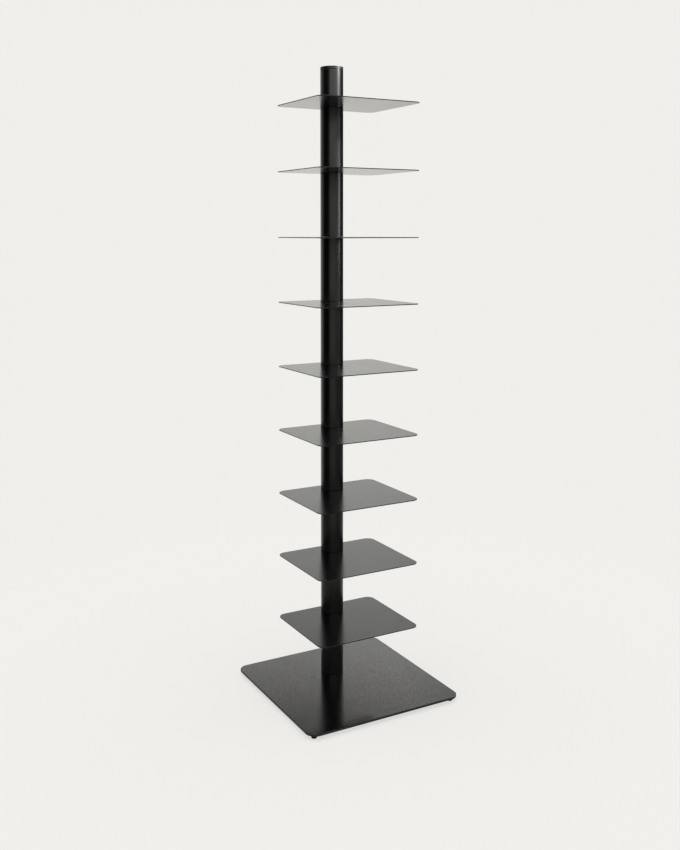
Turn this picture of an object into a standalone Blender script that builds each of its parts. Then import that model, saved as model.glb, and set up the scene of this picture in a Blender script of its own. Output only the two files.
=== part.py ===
"""Free-standing column bookcase: thin steel shelves clamped between the sections of one round column.

The frame stands on the floor at z = 0, with the middle of the base plate at x = y = 0.
The front is towards -Y, and the column stands towards the back of the base.
"""

import math

import bmesh
import bpy
from mathutils import Matrix, Vector

# Fits
SEAT_GAP = 0.0003
SLIP_GAP = 0.0003

# Base plate
BASE_WIDTH = 0.400
BASE_DEPTH = 0.400
BASE_THICKNESS = 0.005
BASE_CORNER_RADIUS = 0.025
BASE_EDGE_RADIUS = 0.0010
COLUMN_SETBACK = 0.0678

# Shelves
SHELF_COUNT = 9
SHELF_PITCH = 0.1547
SHELF_WIDTH = 0.266
SHELF_DEPTH = 0.229
SHELF_SHEET = 0.002
SHELF_CORNER_RADIUS = 0.019
SHELF_EDGE_RADIUS = 0.0005
SHELF_REAR_LIP = 0.0097

# Column
TUBE_DIAMETER = 0.055
TUBE_WALL = 0.0015
END_PLATE_THICKNESS = 0.004
TOP_SECTION_LENGTH = 0.087

# End cap
CAP_RIM_HEIGHT = 0.007
CAP_EDGE_RADIUS = 0.0015
CAP_PLUG_LENGTH = 0.012
CAP_PLUG_WALL = 0.002
CAP_LEAD_IN = 0.001
CAP_SPARE_ROOM = 0.004

# Tie rod and its fasteners
ROD_DIAMETER = 0.010
ROD_END_CHAMFER = 0.001
ROD_PROTRUSION = 0.003
ROD_JOINT_SPACE = 0.001
COUPLED_SECTION = 5
COUPLING_LENGTH = 0.030
NUT_FLATS = 0.017
NUT_HEIGHT = 0.008
THIN_NUT_HEIGHT = 0.005
NUT_CHAMFER = 0.0012
WASHER_DIAMETER = 0.024
WASHER_THICKNESS = 0.002

# Locating pins, which keep the shelves from turning on the rod
PIN_DIAMETER = 0.004
PIN_END_CHAMFER = 0.0005
PIN_OFFSET = 0.017
PIN_REACH = 0.0035
BASE_PIN_ENTRY = 0.0025

# Levelling feet
FOOT_INSET = 0.0185
FOOT_PAD_DIAMETER = 0.013
FOOT_PAD_HEIGHT = 0.004
FOOT_PAD_EDGE_RADIUS = 0.0006
FOOT_NUT_FLATS = 0.010
FOOT_NUT_HEIGHT = 0.005
FOOT_NUT_CHAMFER = 0.0008
FOOT_SCREW_DIAMETER = 0.006
FOOT_SCREW_ENTRY = 0.003
FOOT_SCREW_END_CHAMFER = 0.0006
FOOT_HEAD_DIAMETER = 0.009
FOOT_HEAD_HEIGHT = 0.0016
FOOT_HEAD_RECESS = 0.0006
FOOT_SOCKET_FLATS = 0.003
FOOT_SOCKET_DEPTH = 0.0025

# Facets round a full circle
TUBE_SIDES = 48
BORE_SIDES = 20
ROUND_SIDES = 16
PIN_SIDES = 10
NUT_FACE_SIDES = 16
CORNER_STEPS = 6
HEX_SIDES = 6
CAP_EDGE_STEPS = 2
PAD_EDGE_STEPS = 2
BASE_EDGE_STEPS = 2
SHELF_EDGE_STEPS = 1
SMOOTH_ANGLE = math.radians(35)
CUTTER_OVERRUN = 0.001
WELD_DISTANCE = 0.000001

# Heights and radii that follow from the sizes above
BASE_BOTTOM = FOOT_PAD_HEIGHT + FOOT_NUT_HEIGHT + 2 * SEAT_GAP
BASE_TOP = BASE_BOTTOM + BASE_THICKNESS
TUBE_RADIUS = TUBE_DIAMETER / 2
TUBE_BORE_RADIUS = TUBE_RADIUS - TUBE_WALL
ROD_RADIUS = ROD_DIAMETER / 2
ROD_HOLE_RADIUS = ROD_RADIUS + SLIP_GAP
PIN_RADIUS = PIN_DIAMETER / 2
PIN_HOLE_RADIUS = PIN_RADIUS + SLIP_GAP
SECTION_LENGTH = SHELF_PITCH - SHELF_SHEET - 2 * SEAT_GAP
SHELF_CENTRE_Y = TUBE_RADIUS + SHELF_REAR_LIP - SHELF_DEPTH / 2
TOP_SHELF_FACE = BASE_TOP + SHELF_COUNT * SHELF_PITCH
TOP_SECTION_BOTTOM = TOP_SHELF_FACE + SEAT_GAP
COLUMN_TOP = TOP_SECTION_BOTTOM + TOP_SECTION_LENGTH
CAP_PLUG_END = COLUMN_TOP + SEAT_GAP - CAP_PLUG_LENGTH
ROD_TOP = CAP_PLUG_END - CAP_SPARE_ROOM
TOP_NUT_BOTTOM = ROD_TOP - ROD_PROTRUSION - NUT_HEIGHT
TOP_WASHER_BOTTOM = TOP_NUT_BOTTOM - SEAT_GAP - WASHER_THICKNESS
TOP_PLATE_FACE = TOP_WASHER_BOTTOM - SEAT_GAP
BASE_WASHER_BOTTOM = BASE_BOTTOM - SEAT_GAP - WASHER_THICKNESS
BASE_NUT_BOTTOM = BASE_WASHER_BOTTOM - SEAT_GAP - THIN_NUT_HEIGHT
ROD_BOTTOM = BASE_NUT_BOTTOM

BLACK_COAT = ("black_powder_coat", (0.012, 0.012, 0.011, 1.0), 0.42, 0.0)
ZINC = ("zinc_plated_steel", (0.55, 0.56, 0.57, 1.0), 0.35, 1.0)
BARE_STEEL = ("bright_steel", (0.50, 0.50, 0.50, 1.0), 0.30, 1.0)
BLACK_NYLON = ("black_nylon", (0.015, 0.015, 0.015, 1.0), 0.60, 0.0)


def clear_scene():
    for obj in list(bpy.data.objects):
        bpy.data.objects.remove(obj, do_unlink=True)


def material(finish):
    """The named Principled finish, made once."""
    name, colour, roughness, metallic = finish
    found = bpy.data.materials.get(name)
    if found:
        return found
    made = bpy.data.materials.new(name)
    made.use_nodes = True
    shader = made.node_tree.nodes["Principled BSDF"]
    shader.inputs["Base Color"].default_value = colour
    shader.inputs["Roughness"].default_value = roughness
    shader.inputs["Metallic"].default_value = metallic
    made.diffuse_color = colour
    return made


def place(name, mesh, finish, location, parent=None):
    """One object for one piece, under its parent."""
    obj = bpy.data.objects.new(name, mesh)
    bpy.context.scene.collection.objects.link(obj)
    obj.location = location
    obj.parent = parent
    if not mesh.materials:
        mesh.materials.append(material(finish))
    return obj


def axis_empty(name, location):
    empty = bpy.data.objects.new(name, None)
    bpy.context.scene.collection.objects.link(empty)
    empty.location = location
    return empty


def mesh_from(shape, name):
    """The bmesh as a mesh, with its round faces shaded smooth."""
    bmesh.ops.recalc_face_normals(shape, faces=shape.faces)
    mesh = bpy.data.meshes.new(name)
    shape.to_mesh(mesh)
    shape.free()
    mesh.shade_smooth()
    mesh.set_sharp_from_angle(angle=SMOOTH_ANGLE)
    return mesh


def rounded_rectangle(width, depth, radius):
    """Corner arcs joined by straight sides, counter-clockwise from the right side."""
    points = []
    for quarter, (side_x, side_y) in enumerate(((1, 1), (-1, 1), (-1, -1), (1, -1))):
        centre_x = side_x * (width / 2 - radius)
        centre_y = side_y * (depth / 2 - radius)
        for step in range(CORNER_STEPS + 1):
            angle = math.pi / 2 * (quarter + step / CORNER_STEPS)
            points.append((centre_x + radius * math.cos(angle), centre_y + radius * math.sin(angle)))
    return points


def plate_mesh(name, width, depth, thickness, corner_radius, edge_radius, edge_steps):
    """A flat plate on z = 0 with round corners, both rims softened."""
    shape = bmesh.new()
    rim = [shape.verts.new((x, y, 0)) for x, y in rounded_rectangle(width, depth, corner_radius)]
    sheet = shape.faces.new(rim)
    lifted = bmesh.ops.extrude_face_region(shape, geom=[sheet])["geom"]
    top = [v for v in lifted if isinstance(v, bmesh.types.BMVert)]
    bmesh.ops.translate(shape, verts=top, vec=(0, 0, thickness))
    bmesh.ops.recalc_face_normals(shape, faces=shape.faces)
    flat = [e for e in shape.edges if abs(e.verts[0].co.z - e.verts[1].co.z) < thickness / 2]
    bmesh.ops.bevel(shape, geom=flat, offset=edge_radius, segments=edge_steps, profile=0.5, affect="EDGES")
    return mesh_from(shape, name)


def turned_mesh(name, profile, sides):
    """A solid turned round Z from a profile of (radius, height) points.

    A profile that starts and ends on the axis makes a solid core, and any other is closed into a ring.
    """
    shape = bmesh.new()
    points = [shape.verts.new((radius, 0, height)) for radius, height in profile]
    edges = [shape.edges.new(pair) for pair in zip(points, points[1:])]
    if profile[0][0] > 0:
        edges.append(shape.edges.new((points[-1], points[0])))
    bmesh.ops.spin(
        shape,
        geom=points + edges,
        cent=(0, 0, 0),
        axis=(0, 0, 1),
        angle=2 * math.pi,
        steps=sides,
        use_merge=True,
    )
    bmesh.ops.remove_doubles(shape, verts=shape.verts, dist=WELD_DISTANCE)
    return mesh_from(shape, name)


def hexagon_radius(flats):
    """Corner radius of a hexagon that measures flats across its flats."""
    return flats / 2 / math.cos(math.pi / HEX_SIDES)


def hexagon_mesh(name, flats, height):
    """A hexagonal bar on z = 0."""
    shape = bmesh.new()
    bmesh.ops.create_cone(
        shape,
        cap_ends=True,
        segments=HEX_SIDES,
        radius1=hexagon_radius(flats),
        radius2=hexagon_radius(flats),
        depth=height,
        matrix=Matrix.Translation((0, 0, height / 2)),
    )
    return mesh_from(shape, name)


def quarter_round(radius, height, fillet, steps):
    """Profile points of an outer fillet, from the side of the turned piece up to its top face."""
    points = []
    for step in range(steps + 1):
        angle = math.pi / 2 * step / steps
        points.append((radius - fillet + fillet * math.cos(angle), height - fillet + fillet * math.sin(angle)))
    return points


def helper(name, mesh):
    """A shape that cuts another and isn't a piece of the bookcase."""
    obj = bpy.data.objects.new(name, mesh)
    bpy.context.scene.collection.objects.link(obj)
    obj.hide_render = True
    obj.display_type = "WIRE"
    return obj


def rod_cutter(name, radius, bottom, top, sides):
    profile = [(0, top), (radius, top), (radius, bottom), (0, bottom)]
    return helper(name, turned_mesh(name, profile, sides))


def cut_mesh(name, blank, cutters):
    """The blank less its cutters, as one mesh, with the blank and the cutters removed."""
    work = bpy.data.objects.new(name, blank)
    bpy.context.scene.collection.objects.link(work)
    for cutter in cutters:
        boolean = work.modifiers.new("cut", "BOOLEAN")
        boolean.operation = "DIFFERENCE"
        boolean.solver = "EXACT"
        boolean.object = cutter
    bpy.context.view_layer.update()
    graph = bpy.context.evaluated_depsgraph_get()
    mesh = bpy.data.meshes.new_from_object(work.evaluated_get(graph))
    mesh.name = name
    for obj in [work] + cutters:
        bpy.data.objects.remove(obj, do_unlink=True)
    mesh.shade_smooth()
    mesh.set_sharp_from_angle(angle=SMOOTH_ANGLE)
    return mesh


def column_pin_cutter(bottom, top):
    cutter = rod_cutter("pin_hole", PIN_HOLE_RADIUS, bottom - CUTTER_OVERRUN, top + CUTTER_OVERRUN, PIN_SIDES)
    cutter.location = (0, PIN_OFFSET, 0)
    return cutter


def tube_blank(length):
    profile = [(0, length), (TUBE_RADIUS, length), (TUBE_RADIUS, 0), (0, 0)]
    return turned_mesh("tube_blank", profile, TUBE_SIDES)


def section_mesh():
    """A column section: tube wall, an end plate at each end, and the holes for the rod and the pins."""
    length = SECTION_LENGTH
    hollow = [
        (0, length + CUTTER_OVERRUN),
        (ROD_HOLE_RADIUS, length + CUTTER_OVERRUN),
        (ROD_HOLE_RADIUS, length - END_PLATE_THICKNESS),
        (TUBE_BORE_RADIUS, length - END_PLATE_THICKNESS),
        (TUBE_BORE_RADIUS, END_PLATE_THICKNESS),
        (ROD_HOLE_RADIUS, END_PLATE_THICKNESS),
        (ROD_HOLE_RADIUS, -CUTTER_OVERRUN),
        (0, -CUTTER_OVERRUN),
    ]
    cutters = [
        helper("hollow", turned_mesh("hollow", hollow, BORE_SIDES)),
        column_pin_cutter(0, length),
    ]
    return cut_mesh("column_section", tube_blank(length), cutters)


def top_section_mesh():
    """The top section: its upper plate is set down inside, and leaves room for the nut and the cap's plug."""
    length = TOP_SECTION_LENGTH
    plate_top = TOP_PLATE_FACE - TOP_SECTION_BOTTOM
    plate_bottom = plate_top - END_PLATE_THICKNESS
    hollow = [
        (0, length + CUTTER_OVERRUN),
        (TUBE_BORE_RADIUS, length + CUTTER_OVERRUN),
        (TUBE_BORE_RADIUS, plate_top),
        (ROD_HOLE_RADIUS, plate_top),
        (ROD_HOLE_RADIUS, plate_bottom),
        (TUBE_BORE_RADIUS, plate_bottom),
        (TUBE_BORE_RADIUS, END_PLATE_THICKNESS),
        (ROD_HOLE_RADIUS, END_PLATE_THICKNESS),
        (ROD_HOLE_RADIUS, -CUTTER_OVERRUN),
        (0, -CUTTER_OVERRUN),
    ]
    cutters = [
        helper("hollow", turned_mesh("hollow", hollow, TUBE_SIDES)),
        column_pin_cutter(0, END_PLATE_THICKNESS),
    ]
    return cut_mesh("column_section_top", tube_blank(length), cutters)


def shelf_mesh():
    """A shelf with its column axis at x = y = 0 and its underside on z = 0."""
    outline = (SHELF_WIDTH, SHELF_DEPTH, SHELF_SHEET, SHELF_CORNER_RADIUS)
    blank = plate_mesh("shelf_blank", *outline, SHELF_EDGE_RADIUS, SHELF_EDGE_STEPS)
    blank.transform(Matrix.Translation((0, SHELF_CENTRE_Y, 0)))
    cutters = [
        rod_cutter("rod_hole", ROD_HOLE_RADIUS, -CUTTER_OVERRUN, SHELF_SHEET + CUTTER_OVERRUN, BORE_SIDES),
        column_pin_cutter(0, SHELF_SHEET),
    ]
    return cut_mesh("shelf", blank, cutters)


def foot_places():
    """The four foot axes on the floor: front left, front right, back right and back left."""
    reach_x = BASE_WIDTH / 2 - FOOT_INSET
    reach_y = BASE_DEPTH / 2 - FOOT_INSET
    return [Vector((side_x * reach_x, side_y * reach_y, 0)) for side_x, side_y in ((-1, -1), (1, -1), (1, 1), (-1, 1))]


def base_mesh():
    """The base plate on z = 0: holes for the rod and a pin, and blind holes below for the foot screws."""
    outline = (BASE_WIDTH, BASE_DEPTH, BASE_THICKNESS, BASE_CORNER_RADIUS)
    blank = plate_mesh("base_blank", *outline, BASE_EDGE_RADIUS, BASE_EDGE_STEPS)
    through = BASE_THICKNESS + CUTTER_OVERRUN
    rod_hole = rod_cutter("rod_hole", ROD_HOLE_RADIUS, -CUTTER_OVERRUN, through, BORE_SIDES)
    rod_hole.location = (0, COLUMN_SETBACK, 0)
    pin_hole = column_pin_cutter(0, BASE_THICKNESS)
    pin_hole.location.y += COLUMN_SETBACK
    cutters = [rod_hole, pin_hole]
    for foot in foot_places():
        hole = rod_cutter(
            "foot_hole",
            FOOT_SCREW_DIAMETER / 2 + SLIP_GAP,
            -CUTTER_OVERRUN,
            FOOT_SCREW_ENTRY + SEAT_GAP,
            ROUND_SIDES,
        )
        hole.location = foot
        cutters.append(hole)
    return cut_mesh("base_plate", blank, cutters)


def pin_mesh(length):
    """A dowel pin centred on z = 0, its ends chamfered."""
    profile = [
        (0, length / 2),
        (PIN_RADIUS - PIN_END_CHAMFER, length / 2),
        (PIN_RADIUS, length / 2 - PIN_END_CHAMFER),
        (PIN_RADIUS, PIN_END_CHAMFER - length / 2),
        (PIN_RADIUS - PIN_END_CHAMFER, -length / 2),
        (0, -length / 2),
    ]
    return turned_mesh("locating_pin", profile, PIN_SIDES)


def rod_mesh(name, length):
    """A length of tie rod that stands on z = 0, both ends chamfered."""
    profile = [
        (0, length),
        (ROD_RADIUS - ROD_END_CHAMFER, length),
        (ROD_RADIUS, length - ROD_END_CHAMFER),
        (ROD_RADIUS, ROD_END_CHAMFER),
        (ROD_RADIUS - ROD_END_CHAMFER, 0),
        (0, 0),
    ]
    return turned_mesh(name, profile, ROUND_SIDES)


def nut_mesh(name, flats, height, bore_radius, chamfer):
    """A hexagon nut on z = 0: the bar is faced with a cone at both ends, then bored."""
    corner = hexagon_radius(flats)
    outside = corner + CUTTER_OVERRUN
    slope = CUTTER_OVERRUN * chamfer / (corner - flats / 2)
    ring = [
        (flats / 2, height + CUTTER_OVERRUN),
        (outside, height + CUTTER_OVERRUN),
        (outside, height - chamfer - slope),
        (flats / 2, height),
    ]
    upper = helper("upper_face", turned_mesh("upper_face", ring, NUT_FACE_SIDES))
    lower_ring = [(radius, height - level) for radius, level in ring]
    lower = helper("lower_face", turned_mesh("lower_face", lower_ring, NUT_FACE_SIDES))
    bore = rod_cutter("bore", bore_radius, -CUTTER_OVERRUN, height + CUTTER_OVERRUN, ROUND_SIDES)
    return cut_mesh(name, hexagon_mesh("nut_blank", flats, height), [upper, lower, bore])


def washer_mesh():
    profile = [
        (WASHER_DIAMETER / 2, 0),
        (WASHER_DIAMETER / 2, WASHER_THICKNESS),
        (ROD_HOLE_RADIUS, WASHER_THICKNESS),
        (ROD_HOLE_RADIUS, 0),
    ]
    return turned_mesh("washer", profile, BORE_SIDES)


def cap_mesh():
    """The end cap: a rim as wide as the tube, and a hollow plug below z = 0 that slips inside it."""
    plug_radius = TUBE_BORE_RADIUS - SLIP_GAP
    plug_bore = plug_radius - CAP_PLUG_WALL
    profile = [(0, CAP_RIM_HEIGHT)]
    profile += reversed(quarter_round(TUBE_RADIUS, CAP_RIM_HEIGHT, CAP_EDGE_RADIUS, CAP_EDGE_STEPS))
    profile += [
        (TUBE_RADIUS, 0),
        (plug_radius, 0),
        (plug_radius, CAP_LEAD_IN - CAP_PLUG_LENGTH),
        (plug_radius - CAP_LEAD_IN, -CAP_PLUG_LENGTH),
        (plug_bore, -CAP_PLUG_LENGTH),
        (plug_bore, 0),
        (0, 0),
    ]
    return turned_mesh("end_cap", profile, TUBE_SIDES)


def foot_pad_mesh():
    """The pad on z = 0: a ring that hides the screw's head in its underside."""
    pocket_radius = FOOT_HEAD_DIAMETER / 2 + SLIP_GAP
    pocket_top = FOOT_HEAD_RECESS + FOOT_HEAD_HEIGHT + SEAT_GAP
    hole_radius = FOOT_SCREW_DIAMETER / 2 + SLIP_GAP
    profile = quarter_round(FOOT_PAD_DIAMETER / 2, FOOT_PAD_HEIGHT, FOOT_PAD_EDGE_RADIUS, PAD_EDGE_STEPS)
    profile += [
        (hole_radius, FOOT_PAD_HEIGHT),
        (hole_radius, pocket_top),
        (pocket_radius, pocket_top),
        (pocket_radius, 0),
        (FOOT_PAD_DIAMETER / 2 - FOOT_PAD_EDGE_RADIUS, 0),
        (FOOT_PAD_DIAMETER / 2, FOOT_PAD_EDGE_RADIUS),
    ]
    return turned_mesh("foot_pad", profile, ROUND_SIDES)


def foot_screw_mesh():
    """The foot's screw on z = 0 at its head's lower face, with a hexagon socket for the key."""
    radius = FOOT_SCREW_DIAMETER / 2
    end = BASE_BOTTOM + FOOT_SCREW_ENTRY - FOOT_HEAD_RECESS
    profile = [
        (0, end),
        (radius - FOOT_SCREW_END_CHAMFER, end),
        (radius, end - FOOT_SCREW_END_CHAMFER),
        (radius, FOOT_HEAD_HEIGHT),
        (FOOT_HEAD_DIAMETER / 2, FOOT_HEAD_HEIGHT),
        (FOOT_HEAD_DIAMETER / 2, 0),
        (0, 0),
    ]
    blank = turned_mesh("foot_screw_blank", profile, ROUND_SIDES)
    socket_mesh = hexagon_mesh("socket", FOOT_SOCKET_FLATS, FOOT_SOCKET_DEPTH + CUTTER_OVERRUN)
    socket_mesh.transform(Matrix.Translation((0, 0, -CUTTER_OVERRUN)))
    return cut_mesh("foot_screw", blank, [helper("socket", socket_mesh)])


def build_base(column):
    place("base_plate", base_mesh(), BLACK_COAT, (0, 0, BASE_BOTTOM))
    washer = washer_mesh()
    place("base_washer", washer, ZINC, (0, 0, BASE_WASHER_BOTTOM), column)
    thin_nut = nut_mesh("thin_nut", NUT_FLATS, THIN_NUT_HEIGHT, ROD_HOLE_RADIUS, NUT_CHAMFER)
    place("base_nut", thin_nut, ZINC, (0, 0, BASE_NUT_BOTTOM), column)
    return washer


def build_shelves_and_sections(column):
    """Sections and shelves stacked from the base up, with a pin through each face where they meet."""
    section = section_mesh()
    shelf = shelf_mesh()
    pin = pin_mesh(SHELF_SHEET + 2 * (SEAT_GAP + PIN_REACH))
    for level in range(SHELF_COUNT):
        support = BASE_TOP + level * SHELF_PITCH
        underside = support + SHELF_PITCH - SHELF_SHEET
        place(f"column_section_{level + 1:02d}", section, BLACK_COAT, (0, 0, support + SEAT_GAP), column)
        place(f"shelf_{level + 1}", shelf, BLACK_COAT, (0, 0, underside), column)
        place(
            f"locating_pin_{level + 2:02d}",
            pin,
            BARE_STEEL,
            (0, PIN_OFFSET, underside + SHELF_SHEET / 2),
            column,
        )
    top = top_section_mesh()
    place(f"column_section_{SHELF_COUNT + 1:02d}", top, BLACK_COAT, (0, 0, TOP_SECTION_BOTTOM), column)
    base_pin = pin_mesh(BASE_PIN_ENTRY + SEAT_GAP + PIN_REACH)
    base_pin_middle = BASE_TOP + (SEAT_GAP + PIN_REACH - BASE_PIN_ENTRY) / 2
    place("locating_pin_01", base_pin, BARE_STEEL, (0, PIN_OFFSET, base_pin_middle), column)


def build_tie_rod(column, washer):
    """Two lengths of rod joined inside one section, tightened by the nut under the cap."""
    joint = BASE_TOP + (COUPLED_SECTION - 0.5) * SHELF_PITCH
    lower_length = joint - ROD_JOINT_SPACE / 2 - ROD_BOTTOM
    upper_start = joint + ROD_JOINT_SPACE / 2
    lower = rod_mesh("tie_rod_lower", lower_length)
    place("tie_rod_lower", lower, ZINC, (0, 0, ROD_BOTTOM), column)
    upper = rod_mesh("tie_rod_upper", ROD_TOP - upper_start)
    place("tie_rod_upper", upper, ZINC, (0, 0, upper_start), column)
    coupling = nut_mesh("rod_coupling", NUT_FLATS, COUPLING_LENGTH, ROD_HOLE_RADIUS, NUT_CHAMFER)
    place("rod_coupling", coupling, ZINC, (0, 0, joint - COUPLING_LENGTH / 2), column)
    place("top_washer", washer, ZINC, (0, 0, TOP_WASHER_BOTTOM), column)
    nut = nut_mesh("top_nut", NUT_FLATS, NUT_HEIGHT, ROD_HOLE_RADIUS, NUT_CHAMFER)
    place("top_nut", nut, ZINC, (0, 0, TOP_NUT_BOTTOM), column)


def build_feet():
    """At each corner a weld nut under the base, and the screw with its pad that turns in it."""
    bore = FOOT_SCREW_DIAMETER / 2 + SLIP_GAP
    nut = nut_mesh("foot_nut", FOOT_NUT_FLATS, FOOT_NUT_HEIGHT, bore, FOOT_NUT_CHAMFER)
    pad = foot_pad_mesh()
    screw = foot_screw_mesh()
    for number, spot in enumerate(foot_places(), start=1):
        foot = axis_empty(f"foot_axis_{number}", spot)
        place(f"foot_nut_{number}", nut, ZINC, (0, 0, FOOT_PAD_HEIGHT + SEAT_GAP), foot)
        place(f"foot_pad_{number}", pad, BLACK_NYLON, (0, 0, 0), foot)
        place(f"foot_screw_{number}", screw, ZINC, (0, 0, FOOT_HEAD_RECESS), foot)


def main():
    clear_scene()
    column = axis_empty("column_axis", (0, COLUMN_SETBACK, 0))
    washer = build_base(column)
    build_shelves_and_sections(column)
    build_tie_rod(column, washer)
    place("end_cap", cap_mesh(), BLACK_NYLON, (0, 0, COLUMN_TOP + SEAT_GAP), column)
    build_feet()


main()
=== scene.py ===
"""Studio view of a black column bookcase: thin steel shelves clamped between sections of a round column."""

import math

import bmesh
import bpy
from bpy.props import FloatProperty, FloatVectorProperty, IntProperty, PointerProperty
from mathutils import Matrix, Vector


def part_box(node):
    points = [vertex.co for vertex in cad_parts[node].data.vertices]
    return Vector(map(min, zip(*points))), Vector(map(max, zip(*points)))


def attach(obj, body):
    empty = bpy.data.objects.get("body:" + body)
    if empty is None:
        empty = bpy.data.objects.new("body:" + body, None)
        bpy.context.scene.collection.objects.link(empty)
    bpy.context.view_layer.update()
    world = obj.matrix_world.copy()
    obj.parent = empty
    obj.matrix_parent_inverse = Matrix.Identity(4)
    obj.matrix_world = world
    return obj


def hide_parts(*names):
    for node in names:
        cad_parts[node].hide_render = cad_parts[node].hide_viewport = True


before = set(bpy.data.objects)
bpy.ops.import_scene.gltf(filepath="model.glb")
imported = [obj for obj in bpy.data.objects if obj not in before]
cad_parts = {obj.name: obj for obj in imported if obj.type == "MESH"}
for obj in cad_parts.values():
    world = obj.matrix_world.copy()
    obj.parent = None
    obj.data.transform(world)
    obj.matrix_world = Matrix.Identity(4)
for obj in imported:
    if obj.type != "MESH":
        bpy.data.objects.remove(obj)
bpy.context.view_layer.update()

bl_info = {
    "name": "Column Bookcase",
    "version": (1, 0, 0),
    "blender": (4, 5, 0),
    "location": "View3D > Sidebar > Bookcase",
    "description": "Models and finishes a steel column bookcase on a pale studio floor",
    "category": "Add Mesh",
}

SHELF_NODES = [f"shelf_{number}" for number in range(1, 10)]
SECTION_NODES = [f"column_section_{number:02d}" for number in range(1, 11)]
PIN_NODES = [f"locating_pin_{number:02d}" for number in range(1, 11)]
ROD_NODES = ["tie_rod_lower", "tie_rod_upper"]
FOOT_NUMBERS = (1, 2, 3, 4)

# Modelling: the angle up to which faces shade as one, how far a tool cuts past a surface, and small details.
SMOOTH_ANGLE = math.radians(40)
OVERRUN = 0.001
MERGE = 1e-6
LEVEL, NEARLY_LEVEL, NEARLY_UPRIGHT = 0.9999, 0.9, 0.1
FACE_WEIGHT = 100
FLOOR_SIDES = 96
TUBE_RIM_STEPS = 3
FOOT_HOLE_SPARE = 1 / 6
PLUG_PLAY = 0.0003
PLUG_LEAD = 0.001
BROKEN_EDGE = 0.0002

# The ridge of a screw's thread: its width and start in pitches, its root in depths, and its steps in a turn.
RIDGE_WIDTH, RIDGE_START, RIDGE_ROOT, RIDGE_STEPS = 0.86, 0.25, 0.3, 24

# Patterns in the finishes: the widths of their swells, what part of a pattern shows, and reliefs, in metres.
COAT_CLOUD = 0.06
HANDLING, HANDLED = 0.018, (0.52, 0.78)
RUBBING, RUBBED_BORDER = 0.007, (0.0002, 0.0022)
PATCHY = (0.35, 0.65)
NYLON_TEXTURE, NYLON_CLOUD, NYLON_RELIEF = 0.0005, 0.006, 0.00002
ZINC_PITS, ZINC_CLOUD, ZINC_RELIEF, PIT_SHARE = 0.0004, 0.004, 0.0001, 0.1
ZINC_ROUGHNESS, ZINC_BLUE = 0.3, (0.92, 0.97, 1.06)
WHEEL_RINGS, RING_STRETCH, RING_RELIEF = 0.00015, (0.05, 0.05, 1.0), 0.00001
STEEL_CLOUD, STEEL_ROUGHNESS = 0.003, 0.24
ROD_PITCH = 0.0015

# The studio in plan: the ways to the camera and to the picture's right, the lamps' turns in degrees from the
# first towards the second, and where painted shade darkens the floor in the object's reflections, from -1
# behind the object to 1 in front of it.
TO_CAMERA = Vector((-0.487, -0.873, 0))
RIGHT = Vector((0.873, -0.487, 0))
CAMERA_HEADING = math.atan2(TO_CAMERA.y, TO_CAMERA.x)
HIGH_TURN, LOW_TURN, FRONT_TURN, FILL_TURN = 75.5, 80, 14, -60
PAINTED_SHADE_RANGE = (-0.95, -0.4)

# The light tent's sectors, each with its turn, half its width and its soft border, and how dark they are.
LEFT_GAP, LEFT_GAP_DEPTH = (-56, 27, 14), 0.97
LEFT_DUSK, LEFT_DUSK_DEPTH = (-112, 40, 30), 0.6
RIGHT_GAP, RIGHT_GAP_LIFT = (133, 39.5, 3), 0.5
RIGHT_DUSK, RIGHT_DUSK_DEPTH = (74, 26, 16), 0.9
AHEAD, LOW_AHEAD_DEPTH = (10, 60, 50), 0.75
BEHIND, UPPER_DEPTH = (180, 40, 50), 0.54

# Elevations in degrees between which the tent's light changes, and the light behind the object.
GAP_TOP = (16, 36)
RIGHT_GAP_FOOT = (-20, -8)
RIGHT_DUSK_FOOT, RIGHT_DUSK_TOP = (-22, -10), (-6, -1)
LOW_AHEAD_TOP = (-22, 6)
UPPER_FOOT = (4, 20)
OVERHEAD = (48, 66)
BACK_LIGHT = 0.26
HORIZON, HORIZON_DIP = (-4, 5), 0.18
LOW_BACK, LOW_BACK_RISE = (8, 13), 0.1
HIGH_BACK = (18.5, 25)
SLANT_FLIP, LOW_SLANT = (8, 18), 0.8

# The dark brow high behind the object: sines of the elevations where it starts, its climb and its depth.
BROW, BROW_SLOPE, BROW_DEPTH = (0.424, 0.447), 0.3, 0.98
LEAST_DIVISOR = 0.001


def kind_of(property_type, **usual):
    """A short way to declare one kind of property by its name, description and default."""

    def declare(name, description, default, **more):
        return property_type(name=name, description=description, default=default, **{**usual, **more})

    return declare


length = kind_of(FloatProperty, min=0.0, precision=5, unit="LENGTH", subtype="DISTANCE")
colour = kind_of(FloatVectorProperty, size=3, min=0.0, max=1.0, subtype="COLOR")
share = kind_of(FloatProperty, min=0.0, max=1.0, subtype="FACTOR")
count = kind_of(IntProperty)
amount = kind_of(FloatProperty, min=0.0)
move = kind_of(FloatProperty)
lamp_power = kind_of(FloatProperty, min=0.0, unit="POWER")
lamp_edges = kind_of(FloatVectorProperty, size=2, unit="LENGTH")
position = kind_of(FloatVectorProperty, size=3, subtype="XYZ", unit="LENGTH")
rotation = kind_of(FloatProperty, unit="ROTATION", subtype="ANGLE")


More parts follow.
